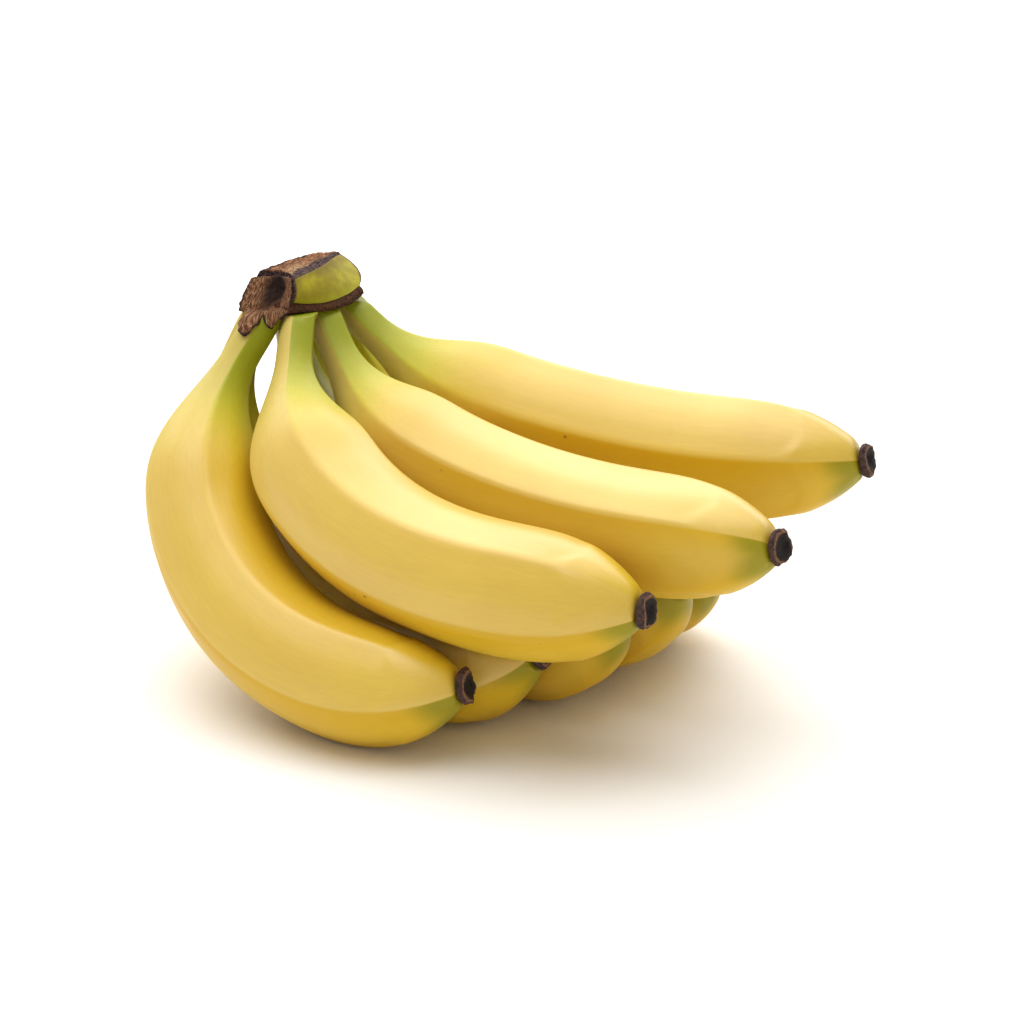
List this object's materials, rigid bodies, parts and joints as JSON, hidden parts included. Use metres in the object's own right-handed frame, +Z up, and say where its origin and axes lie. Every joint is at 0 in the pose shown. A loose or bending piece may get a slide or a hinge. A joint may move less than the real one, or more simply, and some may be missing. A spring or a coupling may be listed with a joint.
{
  "type": "bunch of bananas",
  "caption": "Bunch of ripe bananas joined at one cut crown, two rows deep, curling forward and lying on the backs of its lower row.",
  "frame": {"origin": "on the table, under the middle of the bunch's bounding box", "axes": "+Z up, +X along the longest side of the bounding box from the crown towards the blossom end of the back upper banana, +Y away from the side where most blossom ends show"},
  "size_m": [0.2298, 0.2014, 0.1239],
  "materials": {
    "peel": "satin waxy fruit skin, yellow, green at the neck and at the blossom end",
    "crown": "dry cut plant fibre, brown, with olive green skin on its side",
    "blossom_end": "dry shrivelled dark brown plant fibre"
  },
  "bodies": {
    "root": {"crown": "crown", "banana_1_front_low": "peel", "banana_2_front_top": "peel", "banana_3_middle_top": "peel", "banana_4_back_top": "peel", "banana_5_second_low": "peel", "banana_6_third_low": "peel", "banana_7_fourth_low": "peel", "banana_8_fifth_low": "peel", "blossom_end_1": "blossom_end", "blossom_end_2": "blossom_end", "blossom_end_3": "blossom_end", "blossom_end_4": "blossom_end", "blossom_end_5": "blossom_end", "blossom_end_6": "blossom_end", "blossom_end_7": "blossom_end", "blossom_end_8": "blossom_end"}
  },
  "joints": []
}
